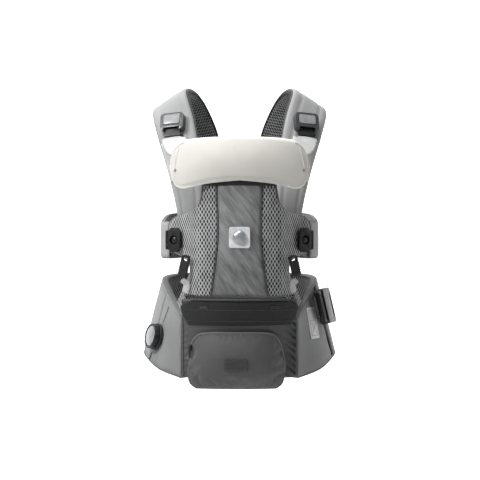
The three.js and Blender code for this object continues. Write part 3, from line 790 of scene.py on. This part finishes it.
def make_seat():
    z = np.linspace(SEAT["bottom"], SEAT["cover_top"], 74)
    x = np.linspace(-1, 1, 96)[:, None] * SEAT["half"]
    base = seat_point(x, z)
    cover = pad("seat_cover_cloth", base, 0.2, -4.8, edge=5, puff=3, ripple=gathers)
    # Painted shade: the seat front takes the darkened copy of the grey fabric.
    settle(cover, "pocket", "seat_front_cover", fill=0.6)
    for side, name in SIDES:
        seam = seat_point(side * SEAT["half"], z)
        piping(f"seat_seam_{name}", front_of(seam, 1.2), (1, 0, 0), "grey_piping", 1.2, 60)
        # The facings take the same darkened copy of the grey fabric, painted shade.
        piping(f"seat_facing_{name}", front_of(seam[:44], -5), (1, 0, 0), "pocket", 2.5, 60, flat=6.5)
    cushion("seat_core", "grey", 10, fill=1.0)
    cushion("seat_top_pad", "dark", 4, fill=0.9)


def cushion(node, look, width, fill):
    """A CAD cushion with well rounded edges and flat cloth coordinates."""
    copy = welded(node, "cloth")
    bevelled(copy, width, 4, 50)
    flat_uv(copy)
    return settle(copy, look, node, fill=fill)


def flat_uv(obj):
    """Cloth coordinates by the way each face points, in metres."""
    mesh = obj.data
    for old in list(mesh.uv_layers):
        mesh.uv_layers.remove(old)
    layer = mesh.uv_layers.new(name="cloth")
    for face in mesh.polygons:
        drop = int(np.argmax(np.abs(face.normal)))
        keep = [k for k in range(3) if k != drop]
        for loop in face.loop_indices:
            co = mesh.vertices[mesh.loops[loop].vertex_index].co
            layer.data[loop].uv = (co[keep[0]], co[keep[1]])


def make_flap():
    half = through([[-51, 104], [-44, 108], [-34, 113], [-16, 119], [-8, 114], [0, 98]])
    drop = np.linspace(-51, 0, 40)
    x = np.linspace(-1, 1, 70)[:, None] * half(drop)
    base = seat_point(x, SEAT["cover_top"] + drop)
    settle(pad("seat_flap_cloth", base, 5.5, 1, edge=4, puff=1.5), "dark", "seat_flap", fill=0.3)
    top = front_of(seat_point(np.linspace(-98, 98, 50), SEAT["cover_top"]), 5.5) + np.array([0, 0, 1])
    piping("seat_flap_piping", top, (0, 0, 1), "piping", 2.4, 80)
    for level, reach in ((166, 112), (143, 104)):
        row = front_of(seat_point(np.linspace(-reach, reach, 60), level), 8.2)
        stitches(f"flap_stitch_{level}", row, (0, -1, 0), "thread")
    for side, name in SIDES:
        parts = []
        for k in range(5):
            row = front_of(seat_point(side * 72 + np.linspace(-8, 8, 8), 169 + 1.1 * k), 8.6)
            parts.append(swept(row, (0, 0, 1), 0.6, 0.6, 6))
        settle(make_object(f"flap_bartack_{name}", *merge(parts)), "piping")


POCKET_X, POCKET_TOP, POCKET_DEPTH = -7, 122, 36
POCKET_SEAM = [
    [-98, 62], [-92, 90], [-86, 104], [-76, 114], [-58, 118], [0, 119],
    [58, 118], [76, 114], [86, 104], [92, 90], [99, 52], [97, 24],
]
pocket_half = through([[0, 82], [12, 96], [34, 100], [66, 96], [94, 90], [111, 81], [119, 68]])


def pocket_front(x, z):
    """How far the full pocket stands off the seat: fullest a little below its middle."""
    across = 1 - np.minimum(1, np.abs(x) / (pocket_half(z) + 2)) ** 3
    up = np.sin(np.pi * (np.clip(z, 0, POCKET_TOP - 0.1) / POCKET_TOP) ** 0.85)
    return POCKET_DEPTH * np.maximum(0, across * up) ** 0.72


def make_pocket():
    z = np.linspace(0.5, 118.5, 64)
    x = np.linspace(-1, 1, 90)[:, None] * pocket_half(z)[None, :]
    zz = z[None, :] * np.ones((90, 1))
    back = seat_point(x + POCKET_X, zz)
    back[..., 1] -= 1.5
    front = back.copy()
    front[..., 1] -= 6 + pocket_front(x, zz)
    folds = np.sin(np.abs(x) / 7 + zz / 5.5) + 0.6 * np.sin(zz / 3.4 - np.abs(x) / 11)
    crumple = 1.9 * folds * smooth(np.abs(x), 62, 92) * smooth(zz, 4, 34)
    front[..., 1] += crumple * (1 - smooth(zz, 92, 112))
    bag = shell("pocket_shaded_cloth", front, back, [x, zz])
    simulate(bag, x.shape, pressure=5, grow=0.03, cap=5)
    # Painted shade: the pocket takes the darkened copy of the grey fabric.
    settle(bag, "pocket", "pocket_bag", fill=0.3)
    run = np.array(POCKET_SEAM, float)
    path = catmull(np.column_stack([run, np.zeros(len(run))]), np.linspace(0, 1, 90))
    track = seat_point(path[:, 0] + POCKET_X, path[:, 1])
    track[:, 1] -= 11.5
    piping("pocket_piping", track, (0, 1, 0), "grey_piping", 2.3, 120)
    teeth = track + np.array([0, 0.6, -3.6])
    piping("pocket_zip_tape", teeth[:60], (0, 0.3, 1), "piping", 1.1, 90, flat=2.4)
    rounded("pocket_patch", "rubber", 0.5)
    patch_frame()


def patch_frame():
    """A raised border round the blank patch on the pocket."""
    low, high = (np.array(c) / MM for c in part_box("pocket_patch"))
    y = low[1] - 0.2
    corners = [
        [low[0] + 3, y, low[2] + 3], [high[0] - 3, y, low[2] + 3], [high[0] - 3, y, high[2] - 3],
        [low[0] + 3, y, high[2] - 3],
    ]
    path = np.array(corners + corners[:1], float)
    stitches("patch_stitch", path, (0, -1, 0), "thread", 2.4, 1.4, 0.35)


# ---------------- the waist belt

BELT_LOW = [
    [-121, -77, 22], [-167, -42, 36], [-199, 24, 54], [-209, 98, 64], [-184, 170, 70], [-108, 214, 72],
    [0, 228, 72],
]
BELT_HIGH = [
    [-121, -98, 150], [-140, -42, 178], [-158, 14, 205], [-168, 84, 224], [-148, 148, 230],
    [-88, 188, 232], [0, 200, 232],
]
LACE_AT = 0.145
BUCKLE_AT = 0.822


def mirrored(points):
    return points + [[-x, y, z] for x, y, z in reversed(points[:-1])]


def belt_rows(share, height):
    low = catmull(mirrored(BELT_LOW), share)
    high = catmull(mirrored(BELT_HIGH), share)
    h = np.atleast_1d(height)[None, :, None]
    return low[:, None] * (1 - h) + high[:, None] * h


def wing_folds(across_u, across_v, full_u, _full_v):
    """Slack in the cloth beside the seam."""
    near = np.clip((across_u - 0.5 * full_u + 60) / 60, 0, 1)
    return 0.8 * near * np.sin(2 * np.pi * (across_v + 0.5 * across_u) / 46)


def make_belt():
    height = np.linspace(0, 1, 34)
    spans = {
        "left": (0.0, LACE_AT - 0.002, 44, "belt_wing_left"),
        "back": (LACE_AT + 0.002, BUCKLE_AT - 0.012, 130, "belt_back"),
        "right": (BUCKLE_AT + 0.012, 1.0, 44, "belt_wing_right"),
    }
    for name, (low, high, count, node) in spans.items():
        base = belt_rows(np.linspace(low, high, count), height)
        piece = pad(f"belt_cloth_{name}", base[::-1], 0.6, -5, edge=6, puff=1.6, ripple=wing_folds)
        settle(piece, "grey", node, fill=0.6)
    whole = belt_rows(np.linspace(0.004, 0.996, 200), height)
    lining = pad("belt_lining_cloth", whole[::-1], -6.6, -13, edge=8)
    settle(lining, "lining", "belt_lining", fill=0.6)
    share = np.linspace(0.002, 0.998, 260)
    inward = grid_normals(belt_rows(share, np.array([0.0, 0.5, 1.0])))
    for level, k, name in ((0.0, 0, "lower"), (1.0, 2, "upper")):
        row = belt_rows(share, np.array([level]))[:, 0] + inward[:, k] * 6.2
        piping(f"belt_binding_{name}", row, inward[:, k], "grey_piping", 2.4, 240, flat=7.4)
    for level, name in ((0.055, "lower"), (0.945, "upper")):
        for low, high, label in ((0.01, 0.14, "left"), (0.155, 0.79, "back"), (0.835, 0.985, "right")):
            s = np.linspace(low, high, 120)
            grid = belt_rows(s, np.array([max(level - 0.05, 0), level, min(level + 0.05, 1)]))
            normal = -grid_normals(grid)[:, 1]
            row = grid[:, 1] + normal * 1.0
            stitches(f"belt_stitch_{name}_{label}", row, normal, "thread", 4.5, 2.5)


# ---------------- shoulder straps, side bands and yoke

STRAP_LINE = [
    [[101, -34, 338], [0.15, -1, 0.05], 52], [[105, -26, 385], [0.2, -1, 0.1], 58],
    [[116, -6, 462], [0.25, -1, 0.25], 73], [[136, 24, 546], [0.33, -0.95, 0.45], 84],
    [[150, 64, 606], [0.57, -0.25, 0.82], 88], [[129, 114, 605], [0.5, 0.35, 0.8], 88],
    [[92, 158, 547], [0.25, 1, 0.35], 78], [[68, 184, 480], [0.1, 1, 0.1], 62],
    [[50, 196, 425], [0, 1, 0], 52],
]
BAND_LINE = [
    [[146, -16, 308], [0.75, -0.65, 0], 74], [[161, 14, 308], [0.95, -0.3, 0], 76],
    [[163, 70, 311], [1, 0.1, 0], 86], [[150, 136, 316], [0.75, 0.65, 0], 98],
    [[104, 184, 320], [0.3, 0.95, 0], 98], [[66, 197, 322], [0.1, 1, 0], 98],
]


EDGES = ((0, "a"), (-1, "b"))


def ribbon(line, side, u, v):
    """Grid of points on a strip that follows its stations, and the outward direction along it."""
    flip = np.array([side, 1, 1])
    path = catmull([np.array(s[0]) * flip for s in line], u)
    out = catmull([np.array(s[1]) * flip for s in line], u)
    width = uniform([[s[2]] for s in line], u)[:, 0]
    tangent = unit(np.gradient(path, axis=0))
    across = unit(np.cross(out, tangent))
    reach = (np.atleast_1d(v) - 0.5)[None, :, None] * width[:, None, None]
    grid = path[:, None] + across[:, None] * reach
    return grid, unit(out)


def outward(grid, out):
    """The grid ordered so that its normal points outwards."""
    normal = grid_normals(grid)
    return grid if np.sum(normal * out[:, None]) > 0 else grid[:, ::-1]


def strap_channels(across_u, across_v, full_u, full_v):
    """Two sewn channels along the strap, a quarter of the way in from each edge."""
    across, full = (across_u, full_u) if np.mean(full_u) < np.mean(full_v) else (across_v, full_v)
    return -2.2 * np.exp(-(((np.abs(across) - 0.27 * full) / 2.6) ** 2))


def bindings(name, grid, look, count, flat):
    """Flat pipings along both edges of a strip."""
    normals = grid_normals(grid)
    for k, label in EDGES:
        piping(name.format(label), grid[:, k], normals[:, k], look, 1.6, count, flat=flat)


def make_strap_patch(side, name):
    """The pale cloth sewn on the strap below the buckle, narrowing downwards."""
    u = np.linspace(0.205, 0.335, 26)
    grid, out = ribbon(STRAP_LINE, side, u, np.linspace(0, 1, 18))
    if abs(grid[0, 0, 0]) < abs(grid[0, -1, 0]):
        grid = grid[:, ::-1]
    reach = np.interp(u, [0.205, 0.26, 0.335], [0.4, 0.62, 0.74])[:, None, None]
    base = grid[:, :1] + (grid[:, -1:] - grid[:, :1]) * reach * np.linspace(0.03, 1, 18)[None, :, None]
    patch = pad(f"strap_patch_{name}", outward(base, out), 12.0, 10.2, edge=2)
    settle(patch, "pale")


def make_harness():
    v = np.linspace(0, 1, 22)
    for side, name in SIDES:
        u = np.linspace(0, 1, 120)
        grid, out = ribbon(STRAP_LINE, side, u, v)
        grid = outward(grid, out)
        full = dict(edge=9, thin=0.3)
        upper = pad(f"strap_cloth_{name}", grid, 8.6, 0.2, puff=1.5, ripple=strap_channels, **full)
        settle(upper, "strap", f"shoulder_strap_{name}", fill=0.7)
        under = pad(f"strap_lining_cloth_{name}", grid, -0.2, -8.8, **full)
        settle(under, "lining", f"shoulder_lining_{name}", fill=0.7)
        make_strap_patch(side, name)
        normals = grid_normals(grid)
        bindings(f"strap_binding_{{}}_{name}", grid, "piping", 150, 3.4)
        for k, label in EDGES:
            normal = normals[:, k]
            inset = grid[:, 2 if k == 0 else -3] + normal * 8.4
            stitches(f"strap_stitch_{label}_{name}", inset[4:-4], normal[4:-4], "light_thread", 4, 2.2)
        neck = 0 if abs(grid[60, 0, 0]) < abs(grid[60, -1, 0]) else -1
        edge = grid[44:104, neck] - normals[44:104, neck] * 5
        piping(f"lining_edge_{name}", edge, normals[44:104, neck], "dark", 2, 90, flat=4.4)
        seam = grid[-1] + normals[-1] * 1.5
        piping(f"yoke_seam_{name}", seam, normals[-1], "strap", 5.5, 40, flat=5.0)
        u = np.linspace(0, 1, 70)
        grid, out = ribbon(BAND_LINE, side, u, np.linspace(0, 1, 18))
        grid = outward(grid, out)
        node = f"side_band_{name}"
        settle(pad(f"side_band_cloth_{name}", grid, 6.2, 0.4, edge=6, puff=1), "strap", node, fill=0.5)
        settle(pad(f"side_band_lining_{name}", grid, 0, -6.2, edge=6), "lining", fill=0.5)
        bindings(f"side_band_binding_{{}}_{name}", grid, "grey_piping", 90, 4.4)
    half = through([[268, 61], [376, 62], [396, 69], [440, 72]])
    s = np.linspace(-1, 1, 60)[:, None]
    top = 410 + 0.467 * (72 - np.maximum(np.abs(s) * 72, 30))
    z = 270 + (top - 270) * np.linspace(0, 1, 50)[None, :]
    x = s * half(z)
    yoke = np.stack([x, 199 - 0.0008 * x * x, z], -1)[::-1]
    settle(pad("yoke_cloth", yoke, 7.6, 0.2, edge=7, puff=2), "strap", "back_yoke", fill=0.6)
    settle(pad("yoke_lining", yoke, -0.2, -7.6, edge=7), "lining", fill=0.6)


# ---------------- head support

BIB_X, ROLL_X = 137, 112
BIB_TOP = [[0, 512], [0.3, 511], [0.6, 505], [0.75, 495], [0.9, 477], [1, 461]]
BIB_LOW = [[0, 427], [0.3, 421], [0.5, 413], [0.62, 410], [0.75, 415], [0.88, 431], [1, 458]]
bib_top, bib_low = through(BIB_TOP), through(BIB_LOW)


def bib_y(share, height):
    """Front-to-back place of the cloth: swept back at the ends and bellied out in the middle."""
    return -161 + 30 * share**2 - 8 * np.sin(np.pi * height) * (1 - share**2)


def bib_point(share, height):
    s, h = matched(share, height)
    x = BIB_X * np.sin(np.pi * s / 2)
    low, top = bib_low(np.abs(s)), bib_top(np.abs(s))
    return np.stack([x, bib_y(x / 140, h), low + (top - low) * h], -1)


def bib_piping(name, row, lift, radius, count):
    piping(name, front_of(row, lift), (0, 1, 0), "cream_piping", radius, count, body="head_rest")


def bib_stitches(name, row, lift):
    stitches(name, front_of(row, lift), (0, -1, 0), "light_thread", 3.6, 2, body="head_rest")


def make_bib():
    s = np.linspace(-1, 1, 100)[:, None]
    h = np.linspace(0, 1, 40)[None, :]
    base = bib_point(s, h)
    front = pad("head_support_cloth", base, 5.5, -2, edge=9, thin=0.4, puff=3)
    simulate(front, base.shape[:2], pressure=1.5, grow=0.0, cap=1.2)
    settle(front, "cream", "head_support", body="head_rest", fill=0.5)
    end = np.linspace(-1, 1, 60)
    roll = np.stack([ROLL_X * end, -152 + 19.2 * end**2, 507 - 6 * end**4], -1)
    piping("head_support_roll", roll, (0, 0, 1), "cream", 7.6, 70, flat=7.6, body="head_rest", fill=0.8)
    below = bib_point(np.linspace(-0.5, -0.985, 30), 0.02)
    above = bib_point(np.linspace(-0.985, -0.6, 30), 0.98)
    for side, name in SIDES:
        rim = np.concatenate([below, above]) * np.array([-side, 1, 1])
        bib_piping(f"bib_piping_{name}", rim, 5.5, 2.1, 90)
    for side, name in SIDES:
        turn = bib_point(side * np.linspace(0.7, 0.86, 40), np.linspace(0.93, 0.24, 40))
        bib_piping(f"bib_welt_{name}", turn, 6.8, 1.5, 60)
    low_edge = bib_point(np.linspace(-0.52, 0.52, 60), 0.01)
    bib_piping("bib_piping_lower", low_edge, 4.5, 1.8, 90)
    inner = bib_point(np.linspace(-0.8, 0.8, 100), 0.1)
    bib_stitches("bib_stitch_lower", inner, 8.4)
    for side, name in SIDES:
        row = bib_point(side * 0.8, np.linspace(0.16, 0.86, 30))
        bib_stitches(f"bib_stitch_{name}", row, 8.2)
        domed(f"head_support_snap_{name}", "grey_plastic", body="head_rest")


# ---------------- tapes, clips and buckles


def tape_from(node, look="tape", levels=2):
    """A CAD ribbon made smooth, with flat cloth coordinates."""
    copy = welded(node, "tape")
    smooth_all(baked(copy).data)
    softened(copy, levels)
    flat_uv(copy)
    return settle(copy, look, node, body=None)


def joint(name):
    return next(j for j in frame["record"]["behaviour"]["joints"] if j["name"] == name)


def centre(node):
    low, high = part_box(node)
    return (np.array(low) + np.array(high)) / 2 / MM


# Moulded CAD pieces: look, width of the broken edge (mm) and body; {} stands for left and right.
MOULDED = {
    "strap_buckle_{}": ("frame", 1.4, "carrier"),
    "strap_button_{}": ("grey_plastic", 1.6, "strap_buckle_button_{}"),
    "strap_tongue_{}": ("satin_black", 0.7, "strap_buckle_tongue_{}"),
    "wing_clip_base_{}": ("satin_black", 0.6, "carrier"),
    "wing_clip_{}": ("black", 1.0, "wing_clip_frame_{}"),
    "leg_clip_{}": ("satin_black", 0.5, "leg_adjuster_{}"),
    "dial_base": ("satin_black", 1.2, "carrier"),
    "dial_spindle": ("satin_black", 0.6, "dial_core"),
    "dial_knob": ("black", 0.9, "dial_grip"),
    "waist_buckle_housing": ("black", 1.6, "carrier"),
    "waist_buckle_tongue": ("black", 1.0, "waist_tongue"),
    "waist_buckle_prong_upper": ("black", 0.9, "waist_prong_top"),
    "waist_buckle_prong_lower": ("black", 0.9, "waist_prong_bottom"),
    "care_label": ("label", 0.4, "carrier"),
    "pocket_zip_slider": ("satin_black", 0.5, "zip_slider"),
    "pocket_zip_puller": ("satin_black", 0.5, "zip_puller"),
}


def make_hardware():
    for node, (look, width, body) in MOULDED.items():
        for name in ("left", "right") if "{}" in node else ("",):
            rounded(node.format(name), look, width, body=body.format(name))
    for side, name in SIDES:
        tab = tape_from(f"neck_tab_{name}")
        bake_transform(tab)
        domed(f"wing_button_{name}", "black", body=f"wing_clip_button_{name}")
        link_tape(side, name)
        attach(tape_from(f"leg_webbing_{name}"), "carrier")
    domed("dial_cap", "silver", body="dial_grip")
    for node in ("dial_lace_upper", "dial_lace_lower"):
        softened(rounded(node, "piping", 0.1))
    for end, body in (("back", "carrier"), ("front", "waist_tongue")):
        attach(tape_from(f"waist_webbing_{end}", "piping", 1), body)
    label_stitches()


def link_tape(side, name):
    """White tape from the side band's front end to the wing clip's bar."""
    clip = centre(f"wing_clip_{name}")
    axis = np.array(joint(f"wing_clip_off_{name}")["axis"])
    out = unit(np.array([axis[0], axis[1], 0.0]))
    along = unit(np.cross(np.array([0, 0, 1.0]), out)) * side
    bar = clip + along * 13 + out * 0.5
    end = np.array([side * 148, -18, 308.0])
    run = catmull(
        [bar - along * 6 - out * 3, bar - out * 1, (bar + end) / 2 + out * 3, end],
        np.linspace(0, 1, 30),
    )
    width = np.linspace(-17, 17, 9)
    grid = run[:, None] + np.array([0, 0, 1.0]) * width[None, :, None]
    piece = settle(pad(f"clip_tape_{name}", grid, 0.8, -0.8, edge=1), "tape", body=None)
    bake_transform(piece)


def label_stitches():
    share, height = 0.907, 0.66
    rows = belt_rows(np.array([share - 0.01, share, share + 0.01]), np.array([0.56, height, 0.76]))
    normal = -grid_normals(rows)[1, 1]
    point = rows[1, 1] + normal * 3.1
    up = unit(np.array([0, 0, 1.0]) - normal * normal[2])
    side = np.cross(up, normal)
    lines = {
        "a": [(-1, -1), (1, 0.2)],
        "b": [(1, -1), (-1, 0.2)],
        "c": [(-1, -1), (1, -1), (1, 1), (-1, 1), (-1, -1)],
        "d": [(-1, 0.2), (1, 0.2)],
    }
    for key, corners in lines.items():
        line = [point + side * a * 15 + up * b * 27 for a, b in corners]
        stitches(f"label_stitch_{key}", line, normal, "thread", 2.4, 1.2, 0.35)


# ---------------- studio

CAMERA = (0.001, -2.6, 0.307)
LENS = 91.5
MIDDLE = (0, 0, 0.3)
# name, place and aim in metres, diameter in metres and power in watts
LIGHTS = [
    ("key", (-2.2, -1.6, 2.2), MIDDLE, 0.9, 78),
    ("fill", (2.6, -0.45, 0.7), MIDDLE, 1.4, 6),
    ("top", (-0.3, -0.5, 2.2), MIDDLE, 0.9, 26),
    ("back_wall", (0.0, 0.8, 2.2), (0, 2.4, 0.6), 1.6, 30),
]
WORLD_LIGHT = 0.16


def make_camera():
    data = bpy.data.cameras.new("camera")
    data.lens = LENS
    data.sensor_width = 36
    camera = linked("camera", data)
    camera.location = CAMERA
    camera.rotation_euler = (math.radians(90), 0, 0)
    bpy.context.scene.camera = camera


def area_light(name, place, aim, size, power):
    data = bpy.data.lights.new(name, "AREA")
    data.shape = "DISK"
    data.size = size
    data.energy = power
    light = linked(name, data)
    light.location = place
    direction = Vector(place) - Vector(aim)
    light.rotation_euler = direction.to_track_quat("Z", "Y").to_euler()


def make_studio():
    """A pale sweep: floor, curve and back wall in one sheet."""
    floor, wall, radius = -0.32, 2.4, 0.8
    profile = [(-4.5, floor), (wall - radius, floor)]
    for k in range(1, 12):
        a = k / 12 * math.pi / 2
        profile.append((wall - radius + radius * math.sin(a), floor + radius - radius * math.cos(a)))
    profile += [(wall, floor + radius), (wall, 4.5)]
    verts = [(x, y, z) for x in (-5.0, 5.0) for y, z in profile]
    n = len(profile)
    faces = [(k, k + 1, n + k + 1, n + k) for k in range(n - 1)]
    mesh = bpy.data.meshes.new("sweep")
    mesh.from_pydata(verts, [], faces)
    smooth_all(mesh)
    sweep = linked("sweep", mesh)
    paper = Nodes("paper", 0.9, (0.6, 0.6, 0.6), Emission_Color=(1, 1, 1, 1))
    depth = paper.span(paper.place()[1], 100.0, 600.0, 0.0, 1.0)
    paper.put(paper.shader.inputs["Emission Strength"], depth)
    mesh.materials.append(paper.mat)
    world = bpy.data.worlds.new("studio")
    world.use_nodes = True
    background = world.node_tree.nodes["Background"]
    background.inputs[0].default_value = (1, 1, 1, 1)
    background.inputs[1].default_value = WORLD_LIGHT
    bpy.context.scene.world = world
    for name, place, aim, size, power in LIGHTS:
        area_light(name, place, aim, size, power)
    bpy.context.scene.view_settings.view_transform = "Standard"


def save_size():
    bpy.context.view_layer.update()


make_panel()
make_badge()
make_seat()
make_flap()
make_pocket()
make_camera()
make_studio()
make_gussets()
make_belt()
make_harness()
make_bib()
make_hardware()
save_size()
